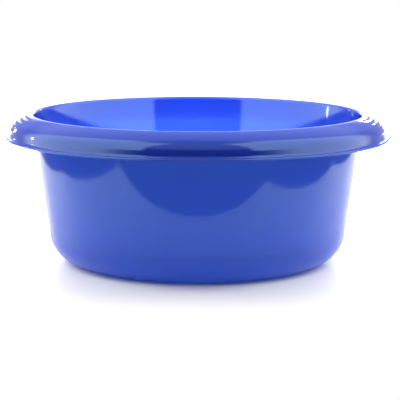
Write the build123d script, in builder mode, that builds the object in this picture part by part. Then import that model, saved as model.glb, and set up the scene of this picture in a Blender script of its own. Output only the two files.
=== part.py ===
"""Round plastic washing-up bowl: one thin-walled moulding, modelled region by region.

Millimetres, +Z up. The origin is on the bowl's axis, in the plane that it rests on.
The bowl is a body of revolution, except for the ridged grips at its +X and -X sides.

Every bend is an arc of the bowl's section. A point on it is named by its slope: the angle,
in degrees, by which the surface there falls away outwards. 0 is level and facing up, 90 is
upright and facing out, 180 is level and facing down, and -90 is upright and facing the axis.
"""
import os
from math import cos, degrees, radians, sin

from build123d import *

# ---- Driving sizes ----
lip_diameter = 360.0
height = 140.0
wall = 2.0

# Side wall, and the bend from the side to the base
draft = 8.0
heel_radius = 30.0

# Base: a contact ring round a floor that stands clear of the table
foot_width = 12.0
recess = 1.0
gate_diameter = 8.0
gate_height = 0.5

# Rolled rim, from the mouth outwards: edge, crown, shoulder, skirt
mouth_radius = 3.0
crown_radius = 55.0
crown_start_slope = 20.0
shoulder_radius = 11.0
shoulder_start_slope = 35.0
skirt_slope = 88.0
skirt_length = 2.9

# Lip round the foot of the skirt
lip_width = 5.0
lip_height = 4.7
flange_thickness = 2.0
lip_fillet = 2.5
fillet_share = 0.95  # the most of the room beside a corner that its fillet takes up
bead_diameter = 2.4

# Grips: ridges that follow the rim round, each a part of a circle in section
ridge_count = 5
ridge_radius = 2.2
ridge_height = 1.1
ridge_half_angle = 20.0
ridge_inner_margin = 2.8
ridge_outer_margin = 1.4

# ---- Slopes of the side wall ----
inside_slope = draft - 90
outside_slope = draft + 90
underneath = 180.0


def normal(slope):
    """The unit vector, in section, that stands out of a surface of this slope."""
    return Vector(sin(radians(slope)), cos(radians(slope)))


def downhill(slope):
    """The unit vector, in section, that runs outwards along a surface of this slope."""
    return Vector(cos(radians(slope)), -sin(radians(slope)))


# ---- Centres of the bends: widths come in from the lip, heights down from the mouth ----
rim_reach = (
    skirt_length * cos(radians(skirt_slope))
    + shoulder_radius * (normal(skirt_slope).X - normal(shoulder_start_slope).X)
    + crown_radius * (normal(shoulder_start_slope).X - normal(crown_start_slope).X)
    + mouth_radius * normal(crown_start_slope).X
)
mouth_centre = Vector(lip_diameter / 2 - lip_width - rim_reach, height - mouth_radius)
crown_centre = mouth_centre - normal(crown_start_slope) * (crown_radius - mouth_radius)
shoulder_centre = crown_centre + normal(shoulder_start_slope) * (crown_radius - shoulder_radius)
skirt_top = shoulder_centre + normal(skirt_slope) * shoulder_radius
skirt_foot = skirt_top + downhill(skirt_slope) * skirt_length
skirt_foot_inside = skirt_foot - Vector(wall, 0)
lip_underside = skirt_foot.Y - lip_height

# The heel's centre lies where its arc meets both the base plane and the wall's outer face
wall_outer_top = mouth_centre + normal(inside_slope) * (mouth_radius - wall)
heel_lift = (heel_radius - wall_outer_top.Y) * sin(radians(draft)) - heel_radius
heel_centre = Vector(wall_outer_top.X + heel_lift / cos(radians(draft)), heel_radius)
floor_radius = heel_centre.X - foot_width


def bend(centre, radius, start_slope, end_slope):
    """Draws the arc of a bend from one slope to another."""
    slopes = (start_slope, (start_slope + end_slope) / 2, end_slope)
    ThreePointArc(*[centre + normal(slope) * radius for slope in slopes])


def across(centre, radius, slope):
    """Draws the line through the wall at one end of a bend."""
    Line(centre + normal(slope) * radius, centre + normal(slope) * (radius - wall))


# ---- Base ----
with BuildPart() as floor:
    with BuildSketch(Plane.XY.offset(recess)):
        Circle(floor_radius)
    extrude(amount=wall)
    with BuildSketch(Plane.XY.offset(recess)):
        Circle(gate_diameter / 2)
    extrude(amount=-gate_height)
floor.part.label = "floor"

with BuildPart() as foot_ring:
    with BuildSketch(Plane.XZ):
        with BuildLine():
            Polyline(
                (floor_radius, recess),
                (floor_radius + recess, 0),
                (heel_centre.X, 0),
                (heel_centre.X, wall),
                (floor_radius + recess, wall),
                (floor_radius, recess + wall),
                close=True,
            )
        make_face()
    revolve(axis=Axis.Z)
foot_ring.part.label = "foot_ring"

with BuildPart() as heel:
    with BuildSketch(Plane.XZ):
        with BuildLine():
            bend(heel_centre, heel_radius, outside_slope, underneath)
            across(heel_centre, heel_radius, underneath)
            bend(heel_centre, heel_radius - wall, underneath, outside_slope)
            across(heel_centre, heel_radius, outside_slope)
        make_face()
    revolve(axis=Axis.Z)
heel.part.label = "heel"

# ---- Side wall: straight, with an even thickness ----
with BuildPart() as side_wall:
    with BuildSketch(Plane.XZ):
        with BuildLine():
            Polyline(
                heel_centre + normal(outside_slope) * heel_radius,
                wall_outer_top,
                mouth_centre + normal(inside_slope) * mouth_radius,
                heel_centre + normal(outside_slope) * (heel_radius - wall),
                close=True,
            )
        make_face()
    revolve(axis=Axis.Z)
side_wall.part.label = "side_wall"

# ---- Rim: the wall turns outwards over the mouth, and down to a skirt ----
with BuildPart() as rim_crown:
    with BuildSketch(Plane.XZ):
        with BuildLine():
            bend(mouth_centre, mouth_radius, inside_slope, crown_start_slope)
            bend(crown_centre, crown_radius, crown_start_slope, shoulder_start_slope)
            across(crown_centre, crown_radius, shoulder_start_slope)
            bend(crown_centre, crown_radius - wall, shoulder_start_slope, crown_start_slope)
            bend(mouth_centre, mouth_radius - wall, crown_start_slope, inside_slope)
            across(mouth_centre, mouth_radius, inside_slope)
        make_face()
    revolve(axis=Axis.Z)
rim_crown.part.label = "rim_crown"

with BuildPart() as rim_skirt:
    with BuildSketch(Plane.XZ):
        with BuildLine():
            bend(shoulder_centre, shoulder_radius, shoulder_start_slope, skirt_slope)
            Polyline(
                skirt_top,
                skirt_foot,
                skirt_foot_inside,
                shoulder_centre + normal(skirt_slope) * (shoulder_radius - wall),
            )
            bend(shoulder_centre, shoulder_radius - wall, skirt_slope, shoulder_start_slope)
            across(shoulder_centre, shoulder_radius, shoulder_start_slope)
        make_face()
    revolve(axis=Axis.Z)
rim_skirt.part.label = "rim_skirt"

# ---- Lip: a short flange with a beaded edge ----
bead_centre = Vector((lip_diameter - bead_diameter) / 2, lip_underside + bead_diameter / 2)
flange_top = lip_underside + flange_thickness
fillet_room = min(skirt_foot.Y - flange_top, bead_centre.X - skirt_foot.X)
with BuildPart() as lip:
    with BuildSketch(Plane.XZ):
        with BuildLine():
            Polyline(
                skirt_foot_inside,
                skirt_foot,
                (skirt_foot.X, flange_top),
                (bead_centre.X, flange_top),
                (bead_centre.X, lip_underside),
                (skirt_foot_inside.X, lip_underside),
                close=True,
            )
        flange = make_face()
        inner_corner = flange.vertices().group_by(Axis.Y)[1].sort_by(Axis.X)[0]
        fillet(inner_corner, radius=min(lip_fillet, fillet_share * fillet_room))
        with Locations(bead_centre):
            Circle(bead_diameter / 2)
    revolve(axis=Axis.Z)
lip.part.label = "lip"

# ---- Grips ----
# The section of all that lies under the rim's upper surface, which the ridges stand on
with BuildSketch() as rim_core:
    with BuildLine():
        bend(mouth_centre, mouth_radius, 0, crown_start_slope)
        bend(crown_centre, crown_radius, crown_start_slope, shoulder_start_slope)
        bend(shoulder_centre, shoulder_radius, shoulder_start_slope, skirt_slope)
        Polyline(skirt_top, skirt_foot, (skirt_foot.X, 0), (0, 0), (0, height), (mouth_centre.X, height))
    make_face()


# The ridges are spread evenly from the crown's start to the skirt's top, less a margin at each
crown_turn = shoulder_start_slope - crown_start_slope
shoulder_turn = skirt_slope - shoulder_start_slope
crown_length = crown_radius * radians(crown_turn)
shoulder_length = shoulder_radius * radians(shoulder_turn)
ridge_span = crown_length + shoulder_length - ridge_inner_margin - ridge_outer_margin
ridge_pitch = ridge_span / (ridge_count - 1)


def crest(distance):
    """The point of the rim this far out from the crown's start, and the slope there."""
    beyond_crown = distance - crown_length
    if beyond_crown < 0:
        slope = shoulder_start_slope + degrees(beyond_crown / crown_radius)
        return crown_centre + normal(slope) * crown_radius, slope
    slope = shoulder_start_slope + degrees(beyond_crown / shoulder_radius)
    return shoulder_centre + normal(slope) * shoulder_radius, slope


grip_angle = radians(ridge_half_angle)
grip_start = Plane(
    (0, 0, 0),
    x_dir=(cos(grip_angle), -sin(grip_angle), 0),
    z_dir=(-sin(grip_angle), -cos(grip_angle), 0),
)
with BuildPart() as grip_right:
    for index in range(ridge_count):
        crest_point, crest_slope = crest(ridge_inner_margin + index * ridge_pitch)
        with BuildSketch(grip_start):
            with Locations(crest_point - normal(crest_slope) * (ridge_radius - ridge_height)):
                Circle(ridge_radius)
            add(rim_core.sketch_local, mode=Mode.SUBTRACT)
        revolve(axis=Axis.Z, revolution_arc=2 * ridge_half_angle)
grip_right.part.label = "grip_right"

with BuildPart() as grip_left:
    add(grip_right.part)
    mirror(about=Plane.YZ, mode=Mode.REPLACE)
grip_left.part.label = "grip_left"

os.makedirs("parts", exist_ok=True)
regions = (floor, foot_ring, heel, side_wall, rim_crown, rim_skirt, lip, grip_left, grip_right)
for region in regions:
    export_step(region.part, f"parts/{region.part.label}.step")
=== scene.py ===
"""Glossy blue plastic washing-up bowl on a white studio board.

Metres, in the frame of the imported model: +Z up, the bowl's axis on Z, the board at Z = 0. The
front, where the camera stands, is -Y.
The bowl is one moulding. Each region of it is a closed mesh of its own, and neighbours share
their edge rings and surface normals exactly, so that no seam shows between them.

A section is a closed outline in (radius, height), made of smooth strips that meet at corners.
A slope is the angle by which a surface falls away outwards: 0 is level and facing up, 90 is
upright and facing out, 180 is level and facing down, and -90 is upright and facing the axis.
"""
from math import atan2, ceil, cos, degrees, pi, radians, sin

import bpy
import numpy as np
from mathutils import Euler, Matrix, Vector


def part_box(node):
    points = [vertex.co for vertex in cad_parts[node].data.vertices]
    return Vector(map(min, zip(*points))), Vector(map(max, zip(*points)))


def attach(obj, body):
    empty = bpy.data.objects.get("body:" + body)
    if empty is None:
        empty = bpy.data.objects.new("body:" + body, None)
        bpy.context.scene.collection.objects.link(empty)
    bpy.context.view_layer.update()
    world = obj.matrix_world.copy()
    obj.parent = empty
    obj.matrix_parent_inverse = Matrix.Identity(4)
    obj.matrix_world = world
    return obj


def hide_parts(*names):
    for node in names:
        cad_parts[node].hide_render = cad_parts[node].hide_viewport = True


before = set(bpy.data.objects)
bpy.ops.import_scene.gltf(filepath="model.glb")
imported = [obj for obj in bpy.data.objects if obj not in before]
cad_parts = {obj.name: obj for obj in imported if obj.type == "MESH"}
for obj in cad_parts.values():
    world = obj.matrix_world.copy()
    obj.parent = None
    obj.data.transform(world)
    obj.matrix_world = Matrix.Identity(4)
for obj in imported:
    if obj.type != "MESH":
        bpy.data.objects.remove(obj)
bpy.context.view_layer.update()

# ---- Sizes that the frame gives ----
lip_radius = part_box("lip")[1].x
lip_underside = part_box("lip")[0].z
skirt_foot_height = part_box("lip")[1].z
skirt_foot_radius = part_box("rim_skirt")[1].x
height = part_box("rim_crown")[1].z

# ---- Sizes of the section ----
wall = 0.0020
draft = 8.0
heel_radius = 0.030
foot_width = 0.012
recess = 0.0010
gate_radius = 0.004
gate_height = 0.0005
mouth_radius = 0.0030
crown_radius = 0.055
crown_start_slope = 20.0
shoulder_radius = 0.011
shoulder_start_slope = 35.0
skirt_slope = 88.0
flange_thickness = 0.0020
lip_fillet = 0.0025
bead_radius = 0.0012

# ---- Grips: ridges that swell out of the rim and fade back into it ----
ridge_count = 5
ridge_inner_margin = 0.0028
ridge_outer_margin = 0.0014
ridge_height = 0.0010
ridge_width = 0.0021
ridge_fade_power = 0.8
grip_half_angle = radians(20)

# ---- Fineness of the meshes ----
segments = 360
# Steps along a section: in metres on straight stretches and ridges, and in degrees on bends.
fine_step = 0.0005
plain_step = 0.006
arc_step = 4.0
fillet_step = 10
bead_step = 12
# The step over which a ridge's slant is measured, in metres and in radians.
slant_step = 1e-4
# Points that agree to this many decimals are one ring, and a ring this narrow is a point.
merge_digits = 7
on_axis = 1e-9

# ---- Slopes ----
inside_slope = draft - 90
outside_slope = draft + 90
underneath = 180.0
inwards = 270.0


def normal(slope):
    """The direction in which a surface of this slope faces."""
    return np.array((sin(radians(slope)), cos(radians(slope))))


def downhill(slope):
    """The direction in which a surface of this slope falls away."""
    return np.array((cos(radians(slope)), -sin(radians(slope))))


# ---- Centres of the bends, as in the frame's own section ----
skirt_foot = np.array((skirt_foot_radius, skirt_foot_height))
rim_drop = (
    mouth_radius * normal(crown_start_slope)
    + crown_radius * (normal(shoulder_start_slope) - normal(crown_start_slope))
    + shoulder_radius * (normal(skirt_slope) - normal(shoulder_start_slope))
)
mouth_height = height - mouth_radius
skirt_length = (mouth_height + rim_drop[1] - skirt_foot_height) / sin(radians(skirt_slope))
skirt_top = skirt_foot - downhill(skirt_slope) * skirt_length
mouth_centre = skirt_top - rim_drop
crown_centre = mouth_centre - normal(crown_start_slope) * (crown_radius - mouth_radius)
shoulder_centre = crown_centre + normal(shoulder_start_slope) * (crown_radius - shoulder_radius)
wall_outer_top = mouth_centre + normal(inside_slope) * (mouth_radius - wall)
heel_lift = (heel_radius - wall_outer_top[1]) * sin(radians(draft)) - heel_radius
heel_centre = np.array((wall_outer_top[0] + heel_lift / cos(radians(draft)), heel_radius))
floor_radius = heel_centre[0] - foot_width
crown_length = crown_radius * radians(shoulder_start_slope - crown_start_slope)
shoulder_length = shoulder_radius * radians(skirt_slope - shoulder_start_slope)


# ---- Strips: rows of (point, outward normal, distance along the rim or None) ----
def arc(centre, radius, start, end, sign=1, step=arc_step, distance=None):
    """A bend from slope to slope. sign is -1 where the wall's underside faces away from it."""
    count = max(2, ceil(abs(end - start) / step)) + 1
    strip = []
    for slope in np.linspace(start, end, count):
        along = None if distance is None else distance + radius * radians(slope - start)
        strip.append((centre + normal(slope) * radius, normal(slope) * sign, along))
    return strip


def straight(start, end, step=plain_step, distance=None):
    """A straight stretch, with its outward normal on the left of its direction of travel."""
    start, end = np.array(start, float), np.array(end, float)
    length = np.linalg.norm(end - start)
    direction = (end - start) / length
    facing = np.array((-direction[1], direction[0]))
    count = max(1, ceil(length / step)) + 1
    strip = []
    for share in np.linspace(0, 1, count):
        along = None if distance is None else distance + share * length
        strip.append((start + (end - start) * share, facing, along))
    return strip


def across(centre, radius, slope):
    """The cut through the wall at one end of a bend, from its outer face to its inner face."""
    return straight(centre + normal(slope) * radius, centre + normal(slope) * (radius - wall))


def back_across(centre, radius, slope):
    """The same cut, from the inner face to the outer face."""
    return straight(centre + normal(slope) * (radius - wall), centre + normal(slope) * radius)


# ---- Relief of the grips ----
ridge_span = crown_length + shoulder_length - ridge_inner_margin - ridge_outer_margin
ridge_pitch = ridge_span / (ridge_count - 1)


def relief(angle, distance):
    """How far the ridges stand out of the rim, at an angle from +X and a distance along it."""
    from_grip = min(abs(angle), abs(abs(angle) - pi))
    if from_grip >= grip_half_angle:
        return 0.0
    fade = cos(from_grip / grip_half_angle * pi / 2) ** ridge_fade_power
    total = 0.0
    for index in range(ridge_count):
        offset = (distance - ridge_inner_margin - index * ridge_pitch) / ridge_width
        if abs(offset) < 1:
            total += (1 - offset**2) ** 2
    return ridge_height * fade * total


def surface(point, facing, along, angle):
    """A vertex and its normal, turned to an angle about the axis, with the grips' relief."""
    (radius, up), (out, rise) = point, facing
    lift = slant = turn = 0.0
    if along is not None:
        near = slant_step
        lift = relief(angle, along)
        slant = (relief(angle, along + near) - relief(angle, along - near)) / (2 * near)
        turn = (relief(angle + near, along) - relief(angle - near, along)) / (2 * near * radius)
    radius, up = radius + out * lift, up + rise * lift
    out, rise = out - slant * rise, rise + slant * out
    place = (radius * cos(angle), radius * sin(angle), up)
    around = Vector((-sin(angle), cos(angle), 0))
    direction = Vector((out * cos(angle), out * sin(angle), rise)) - around * turn
    return place, direction.normalized()


def revolved(name, strips, replaced):
    """A closed mesh: the strips turned about the axis, with exact normals and sharp corners."""
    verts, rings, quads, normals = [], {}, [], []
    angles = [2 * pi * index / segments - pi for index in range(segments)]

    def ring(point, facing, along):
        """The vertices of the ring through a point of the section, made the first time."""
        key = (round(point[0], merge_digits), round(point[1], merge_digits))
        if key not in rings:
            first = len(verts)
            if point[0] < on_axis:
                verts.append((0, 0, point[1]))
                rings[key] = [first] * segments
            else:
                verts.extend(surface(point, facing, along, angle)[0] for angle in angles)
                rings[key] = list(range(first, first + segments))
        return rings[key]

    for strip in strips:
        for a, b in zip(strip, strip[1:]):
            ring_a, ring_b = ring(*a), ring(*b)
            for index in range(segments):
                after = (index + 1) % segments
                corners = (
                    (ring_a[index], a, index),
                    (ring_b[index], b, index),
                    (ring_b[after], b, after),
                    (ring_a[after], a, after),
                )
                face, shading = [], []
                for vert, (point, facing, along), at in corners:
                    if vert in face:
                        continue
                    face.append(vert)
                    shading.append(surface(point, facing, along, angles[at])[1])
                quads.append(face)
                normals.extend(shading)
    mesh = bpy.data.meshes.new(name)
    mesh.from_pydata(verts, [], quads)
    mesh.polygons.foreach_set("use_smooth", [True] * len(mesh.polygons))
    mesh.normals_split_custom_set(normals)
    mesh.update()
    piece = bpy.data.objects.new(name, mesh)
    bpy.context.scene.collection.objects.link(piece)
    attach(piece, "root")
    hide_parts(*replaced)
    return piece


# ---- The regions of the moulding ----
def floor_strips():
    """The flat panel of the base, raised by the recess, with the gate mark under it."""
    under, top = recess, recess + wall
    return [
        straight((0, top), (floor_radius, top)),
        straight((floor_radius, top), (floor_radius, under)),
        straight((floor_radius, under), (gate_radius, under)),
        straight((gate_radius, under), (gate_radius, under - gate_height)),
        straight((gate_radius, under - gate_height), (0, under - gate_height)),
    ]


def foot_ring_strips():
    """The ring that the bowl stands on, with the step up to the floor."""
    step = floor_radius + recess
    return [
        straight((floor_radius, recess + wall), (step, wall)),
        straight((step, wall), (heel_centre[0], wall)),
        straight((heel_centre[0], wall), (heel_centre[0], 0)),
        straight((heel_centre[0], 0), (step, 0)),
        straight((step, 0), (floor_radius, recess)),
        straight((floor_radius, recess), (floor_radius, recess + wall)),
    ]


def heel_strips():
    """The bend from the base up into the wall."""
    return [
        arc(heel_centre, heel_radius - wall, underneath, outside_slope, sign=-1),
        back_across(heel_centre, heel_radius, outside_slope),
        arc(heel_centre, heel_radius, outside_slope, underneath),
        across(heel_centre, heel_radius, underneath),
    ]


def side_wall_strips():
    """The straight, slightly flared wall."""
    outer_foot = heel_centre + normal(outside_slope) * heel_radius
    inner_foot = heel_centre + normal(outside_slope) * (heel_radius - wall)
    inner_top = mouth_centre + normal(inside_slope) * mouth_radius
    return [
        straight(inner_foot, inner_top),
        straight(inner_top, wall_outer_top),
        straight(wall_outer_top, outer_foot),
        straight(outer_foot, inner_foot),
    ]


def rim_crown_strips():
    """The rounded mouth edge and the sloping top of the rim, with ridges at the grips."""
    fine = degrees(fine_step / crown_radius)
    under_crown = crown_radius - wall
    under_mouth = mouth_radius - wall
    return [
        arc(mouth_centre, mouth_radius, inside_slope, crown_start_slope)
        + arc(crown_centre, crown_radius, crown_start_slope, shoulder_start_slope, 1, fine, 0)[1:],
        across(crown_centre, crown_radius, shoulder_start_slope),
        arc(crown_centre, under_crown, shoulder_start_slope, crown_start_slope, -1)
        + arc(mouth_centre, under_mouth, crown_start_slope, inside_slope, -1)[1:],
        back_across(mouth_centre, mouth_radius, inside_slope),
    ]


def rim_skirt_strips():
    """The rim's shoulder and its outer face, with the rest of the ridges."""
    fine = degrees(fine_step / shoulder_radius)
    under = shoulder_radius - wall
    after = crown_length + shoulder_length
    skirt_foot_inside = skirt_foot - np.array((wall, 0))
    skirt_top_inside = shoulder_centre + normal(skirt_slope) * under
    shoulder = arc(
        shoulder_centre, shoulder_radius, shoulder_start_slope, skirt_slope, 1, fine, crown_length
    )
    return [
        shoulder + straight(skirt_top, skirt_foot, fine_step, after)[1:],
        straight(skirt_foot, skirt_foot_inside),
        straight(skirt_foot_inside, skirt_top_inside),
        arc(shoulder_centre, under, skirt_slope, shoulder_start_slope, -1),
        back_across(shoulder_centre, shoulder_radius, shoulder_start_slope),
    ]


def lip_strips():
    """The short flange round the skirt's foot, with its beaded edge."""
    flange_top = lip_underside + flange_thickness
    bead_centre = np.array((lip_radius - bead_radius, lip_underside + bead_radius))
    fillet_centre = np.array((skirt_foot[0] + lip_fillet, flange_top + lip_fillet))
    bead_reach = (bead_radius**2 - (flange_top - bead_centre[1]) ** 2) ** 0.5
    bead_start = np.array((bead_centre[0] - bead_reach, flange_top))
    start_slope = degrees(atan2(bead_start[0] - bead_centre[0], bead_start[1] - bead_centre[1]))
    inner = skirt_foot[0] - wall
    return [
        straight(skirt_foot, (skirt_foot[0], fillet_centre[1]))
        + arc(fillet_centre, lip_fillet, inwards, underneath, -1, fillet_step)[1:]
        + straight((fillet_centre[0], flange_top), bead_start)[1:],
        arc(bead_centre, bead_radius, start_slope, underneath, 1, bead_step),
        straight((bead_centre[0], lip_underside), (inner, lip_underside)),
        straight((inner, lip_underside), (inner, skirt_foot[1])),
        straight((inner, skirt_foot[1]), skirt_foot),
    ]


# ---- Materials ----
white = (1, 1, 1, 1)
plastic_colour = (0.010, 0.035, 0.465)
plastic_ior = 1.66
gloss_tint = (0.66, 1.0, 1.0)
patch_scale = 9.0
patch_detail = 3.0
patch_dark = 0.94
patch_light = 1.06
mark_scale = 160.0
mark_detail = 6.0
smoothest = 0.04
roughest = 0.12
wave_scale = 28.0
wave_detail = 1.0
wave_strength = 1.0
wave_height = 0.00004
glow_colour = (0.28, 0.50, 1.0)
glow_share = 0.32
board_colour = (0.94, 0.92, 0.84)
board_roughness = 0.45

# Sockets of a Mix node by place, because its number and colour sockets share their names.
mix_share, number_a, number_b, colour_a, colour_b = 0, 2, 3, 6, 7
number_out, colour_out = 0, 2


def input_of(shader, name, value):
    shader.inputs[name].default_value = value


def noise(tree, place, scale, detail):
    """Cloudy values, fixed to the bowl."""
    clouds = tree.nodes.new("ShaderNodeTexNoise")
    input_of(clouds, "Scale", scale)
    input_of(clouds, "Detail", detail)
    tree.links.new(place.outputs["Object"], clouds.inputs["Vector"])
    return clouds.outputs["Fac"]


def mottle(tree, place, shader):
    """Slightly darker and lighter patches of the plastic's blue."""
    colour = tree.nodes.new("ShaderNodeMix")
    colour.data_type = "RGBA"
    tree.links.new(noise(tree, place, patch_scale, patch_detail), colour.inputs[mix_share])
    for socket, share in ((colour_a, patch_dark), (colour_b, patch_light)):
        colour.inputs[socket].default_value = (*[share * part for part in plastic_colour], 1)
    tree.links.new(colour.outputs[colour_out], shader.inputs["Base Color"])


def fine_marks(tree, place, shader):
    """A gloss that varies a little from spot to spot."""
    gloss = tree.nodes.new("ShaderNodeMapRange")
    input_of(gloss, "To Min", smoothest)
    input_of(gloss, "To Max", roughest)
    tree.links.new(noise(tree, place, mark_scale, mark_detail), gloss.inputs["Value"])
    tree.links.new(gloss.outputs["Result"], shader.inputs["Roughness"])


def flow_waves(tree, place, shader):
    """The faint waves of moulded plastic, which bend reflections a little."""
    bump = tree.nodes.new("ShaderNodeBump")
    input_of(bump, "Strength", wave_strength)
    input_of(bump, "Distance", wave_height)
    tree.links.new(noise(tree, place, wave_scale, wave_detail), bump.inputs["Height"])
    tree.links.new(bump.outputs["Normal"], shader.inputs["Normal"])


def bowl_plastic():
    """Glossy blue plastic that lets some light through."""
    material = bpy.data.materials.new("bowl_plastic")
    material.use_nodes = True
    tree = material.node_tree
    shader = tree.nodes["Principled BSDF"]
    input_of(shader, "IOR", plastic_ior)
    input_of(shader, "Specular Tint", (*gloss_tint, 1))
    place = tree.nodes.new("ShaderNodeTexCoord")
    mottle(tree, place, shader)
    fine_marks(tree, place, shader)
    flow_waves(tree, place, shader)

    through = tree.nodes.new("ShaderNodeBsdfTranslucent")
    input_of(through, "Color", (*glow_colour, 1))
    mixed = tree.nodes.new("ShaderNodeMixShader")
    mixed.inputs[0].default_value = glow_share
    tree.links.new(shader.outputs[0], mixed.inputs[1])
    tree.links.new(through.outputs[0], mixed.inputs[2])
    tree.links.new(mixed.outputs[0], tree.nodes["Material Output"].inputs["Surface"])
    return material


def board_paint():
    """The white paint of the studio board."""
    material = bpy.data.materials.new("studio_floor")
    material.use_nodes = True
    shader = material.node_tree.nodes["Principled BSDF"]
    input_of(shader, "Base Color", (*board_colour, 1))
    input_of(shader, "Roughness", board_roughness)
    return material


# ---- Make the bowl ----
pieces = [
    revolved("bowl_floor", floor_strips(), ["floor"]),
    revolved("bowl_foot_ring", foot_ring_strips(), ["foot_ring"]),
    revolved("bowl_heel", heel_strips(), ["heel"]),
    revolved("bowl_side_wall", side_wall_strips(), ["side_wall"]),
    revolved("bowl_rim_crown", rim_crown_strips(), ["rim_crown", "grip_left", "grip_right"]),
    revolved("bowl_rim_skirt", rim_skirt_strips(), ["rim_skirt"]),
    revolved("bowl_lip", lip_strips(), ["lip"]),
]
plastic = bowl_plastic()
for piece in pieces:
    piece.data.materials.append(plastic)

# ---- Studio board: level, under the bowl, with its front corners cut off at a slant ----
board_left = -0.42
board_right = 0.45
board_back = 2.0
board_shoulder = 0.05
board_front = -0.28
board_front_left = -0.30
board_front_right = 0.235


def studio_board():
    """The board. Its near edge is mirrored in the bowl as the edge of dark lobes."""
    outline = [
        (board_front_left, board_front, 0),
        (board_front_right, board_front, 0),
        (board_right, board_shoulder, 0),
        (board_right, board_back, 0),
        (board_left, board_back, 0),
        (board_left, board_shoulder, 0),
    ]
    mesh = bpy.data.meshes.new("studio_floor")
    mesh.from_pydata(outline, [], [range(len(outline))])
    mesh.materials.append(board_paint())
    board = bpy.data.objects.new("studio_floor", mesh)
    bpy.context.scene.collection.objects.link(board)


studio_board()

# ---- Studio world: the light of its parts, and where each begins and ends ----
# Beside the bowl is a white surround.
side_light = 3.6
# Behind the bowl it dims, between these backward parts of a level heading: 0 is sideways and 1
# is straight back. All other limits are angles, from straight back, from the front or up.
rear_light = 0.8
rear_start = 0.48
rear_end = 0.72
# Straight behind is a low bright screen, and above it a dimmer band.
screen_light = 3.2
screen_start = radians(12)
screen_end = radians(17)
screen_top = radians(23)
screen_top_end = radians(33)
upper_light = 1.4
# Overhead is a roof.
roof_light = 0.85
tent_top = radians(68)
tent_end = radians(78)
# In front is a gap, dark low down and lighter higher up. At and below the horizon its edge is
# soft and reaches further round.
front_edge = radians(31)
front_end = radians(35)
front_wide_end = radians(66)
gap_low_end = radians(1)
gap_high_start = radians(5)
front_low = 0.15
front_high = 1.0
front_low_end = radians(14)
front_high_start = radians(28)
# Well below the horizon is the ground.
ground_light = 0.25
ground_end = radians(-13)
sky_start = radians(-11)
# Light that isn't mirrored comes from a plain dome instead.
dome_low = 0.3
dome_high = 1.3
dome_start = radians(25)
dome_end = radians(50)


def ramp(tree, value, start, end, low, high):
    """A smooth step of a value from start to end, taken to the range low to high."""
    step = tree.nodes.new("ShaderNodeMapRange")
    step.interpolation_type = "SMOOTHSTEP"
    input_of(step, "From Min", start)
    input_of(step, "From Max", end)
    input_of(step, "To Min", low)
    input_of(step, "To Max", high)
    tree.links.new(value, step.inputs["Value"])
    return step.outputs["Result"]


def blend(tree, share, first, second):
    """first where share is 0 and second where it is 1. Either may be a number."""
    mix = tree.nodes.new("ShaderNodeMix")
    tree.links.new(share, mix.inputs[mix_share])
    for socket, value in ((number_a, first), (number_b, second)):
        if isinstance(value, float):
            mix.inputs[socket].default_value = value
        else:
            tree.links.new(value, mix.inputs[socket])
    return mix.outputs[number_out]


def directions(tree):
    """How far a direction points backwards on the level, from -1 to 1, and its rise, -1 to 1."""
    nodes, links = tree.nodes, tree.links
    place = nodes.new("ShaderNodeTexCoord")
    split = nodes.new("ShaderNodeSeparateXYZ")
    links.new(place.outputs["Generated"], split.inputs[0])
    level = nodes.new("ShaderNodeVectorMath")
    level.operation = "MULTIPLY"
    level.inputs[1].default_value = (1, 1, 0)
    links.new(place.outputs["Generated"], level.inputs[0])
    compass = nodes.new("ShaderNodeVectorMath")
    compass.operation = "NORMALIZE"
    links.new(level.outputs[0], compass.inputs[0])
    heading = nodes.new("ShaderNodeSeparateXYZ")
    links.new(compass.outputs[0], heading.inputs[0])
    return heading.outputs["Y"], split.outputs["Z"]


def surround(tree, backwards, rise):
    """The light of the white surround, its bright screen and its roof."""
    rear = ramp(tree, backwards, rear_start, rear_end, 0.0, 1.0)
    screen_ends = cos(screen_end), cos(screen_start)
    screen = ramp(tree, backwards, *screen_ends, rear_light, screen_light)
    raised = ramp(tree, rise, sin(screen_top), sin(screen_top_end), 0.0, 1.0)
    back = blend(tree, raised, screen, upper_light)
    tent = blend(tree, rear, side_light, back)
    roof = ramp(tree, rise, sin(tent_top), sin(tent_end), 0.0, 1.0)
    return blend(tree, roof, tent, roof_light)


def outside_gap(tree, backwards, rise):
    """0 in the gap in front, and 1 elsewhere."""
    narrow = ramp(tree, backwards, -cos(front_edge), -cos(front_end), 0.0, 1.0)
    wide = ramp(tree, backwards, -cos(front_edge), -cos(front_wide_end), 0.0, 1.0)
    raised = ramp(tree, rise, sin(gap_low_end), sin(gap_high_start), 0.0, 1.0)
    return blend(tree, raised, wide, narrow)


def light_strength(tree):
    """The world's light: surround, gap and ground where it is mirrored, and a dome where not."""
    backwards, rise = directions(tree)
    front_ends = sin(front_low_end), sin(front_high_start)
    front = ramp(tree, rise, *front_ends, front_low, front_high)
    around = surround(tree, backwards, rise)
    sky = blend(tree, outside_gap(tree, backwards, rise), front, around)
    above_ground = ramp(tree, rise, sin(ground_end), sin(sky_start), 0.0, 1.0)
    mirrored = blend(tree, above_ground, ground_light, sky)
    dome = ramp(tree, rise, sin(dome_start), sin(dome_end), dome_low, dome_high)
    matte = blend(tree, above_ground, ground_light, dome)
    path = tree.nodes.new("ShaderNodeLightPath")
    return blend(tree, path.outputs["Is Glossy Ray"], matte, mirrored)


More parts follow.
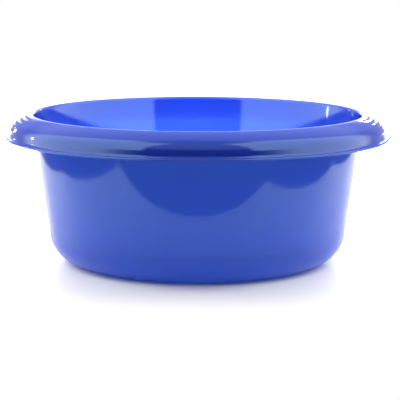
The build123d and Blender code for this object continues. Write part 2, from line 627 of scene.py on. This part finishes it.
def studio_world():
    """A white studio. The camera sees plain white whichever way it looks."""
    world = bpy.data.worlds.new("studio")
    world.use_nodes = True
    tree = world.node_tree
    nodes, links = tree.nodes, tree.links
    lit = nodes["Background"]
    input_of(lit, "Color", white)
    links.new(light_strength(tree), lit.inputs["Strength"])
    seen = nodes.new("ShaderNodeBackground")
    input_of(seen, "Color", white)
    path = nodes.new("ShaderNodeLightPath")
    choose = nodes.new("ShaderNodeMixShader")
    links.new(path.outputs["Is Camera Ray"], choose.inputs[0])
    links.new(lit.outputs[0], choose.inputs[1])
    links.new(seen.outputs[0], choose.inputs[2])
    links.new(choose.outputs[0], nodes["World Output"].inputs["Surface"])
    return world


bpy.context.scene.world = studio_world()


# ---- Lamps ----
def hang(light, place, target, mirrored):
    """Puts a light at a place, aimed at a target. mirrored is whether it shines in the gloss."""
    holder = bpy.data.objects.new(light.name, light)
    holder.location = place
    holder.rotation_euler = (Vector(target) - Vector(place)).to_track_quat("-Z", "Y").to_euler()
    holder.visible_glossy = mirrored
    bpy.context.scene.collection.objects.link(holder)
    return holder


def panel_lamp(name, place, target, size, power, mirrored=False):
    """A rectangular lamp that the camera doesn't see."""
    light = bpy.data.lights.new(name, "AREA")
    light.shape = "RECTANGLE"
    light.size, light.size_y = size
    light.energy = power
    hang(light, place, target, mirrored).visible_camera = False


def spot_lamp(name, place, target, radius, cone, softness, power):
    """A spot with a soft edge, which isn't mirrored."""
    light = bpy.data.lights.new(name, "SPOT")
    light.energy = power
    light.spot_size = cone
    light.spot_blend = softness
    light.shadow_soft_size = radius
    hang(light, place, target, mirrored=False)


panel_lamp(
    "high_back_light",
    place=(0, 1.25, 0.95),
    target=(0, 0, 0.10),
    size=(2.0, 0.8),
    power=32,
)
panel_lamp(
    "back_light",
    place=(0, 0.9, 0.075),
    target=(0, 0, 0.075),
    size=(2.2, 0.12),
    power=26,
)
for name, side in (("left_light", -1), ("right_light", 1)):
    panel_lamp(
        name,
        place=(1.0 * side, 0.25, 0.55),
        target=(0.35 * side, 0.15, 0),
        size=(0.6, 0.9),
        power=10,
    )
# This one brightens the inside of the back wall.
spot_lamp(
    "spot",
    place=(0, -0.9, 1.4),
    target=(0, 0.13, 0.10),
    radius=0.12,
    cone=radians(12),
    softness=0.8,
    power=250,
)
# Three small lamps make the glints on the rim and inside the bowl.
panel_lamp(
    "small_lamp",
    place=(0.62, 1.80, 0.62),
    target=(0, 0, 0.10),
    size=(0.14, 0.14),
    power=0.8,
    mirrored=True,
)
panel_lamp(
    "strip_lamp",
    place=(-1.64, 0.73, 0.23),
    target=(0, 0, 0.12),
    size=(0.05, 0.30),
    power=1.2,
    mirrored=True,
)
panel_lamp(
    "left_small_lamp",
    place=(-1.03, 1.47, 0.26),
    target=(0, 0, 0.12),
    size=(0.10, 0.10),
    power=0.8,
    mirrored=True,
)

# ---- Camera: in front, looking back and slightly down ----
camera_place = (0.0025, -1.5, 0.2971)
camera_pitch = radians(9.12)
camera_roll = 0.0034
camera_data = bpy.data.cameras.new("camera")
camera_data.lens = 143.8
camera_data.sensor_width = 36.0
camera = bpy.data.objects.new("camera", camera_data)
tilt = Euler((pi / 2 - camera_pitch, 0, 0)).to_matrix() @ Matrix.Rotation(camera_roll, 3, "Z")
camera.matrix_world = Matrix.Translation(camera_place) @ tilt.to_4x4()
bpy.context.scene.collection.objects.link(camera)
bpy.context.scene.camera = camera
bpy.context.scene.view_settings.view_transform = "Standard"
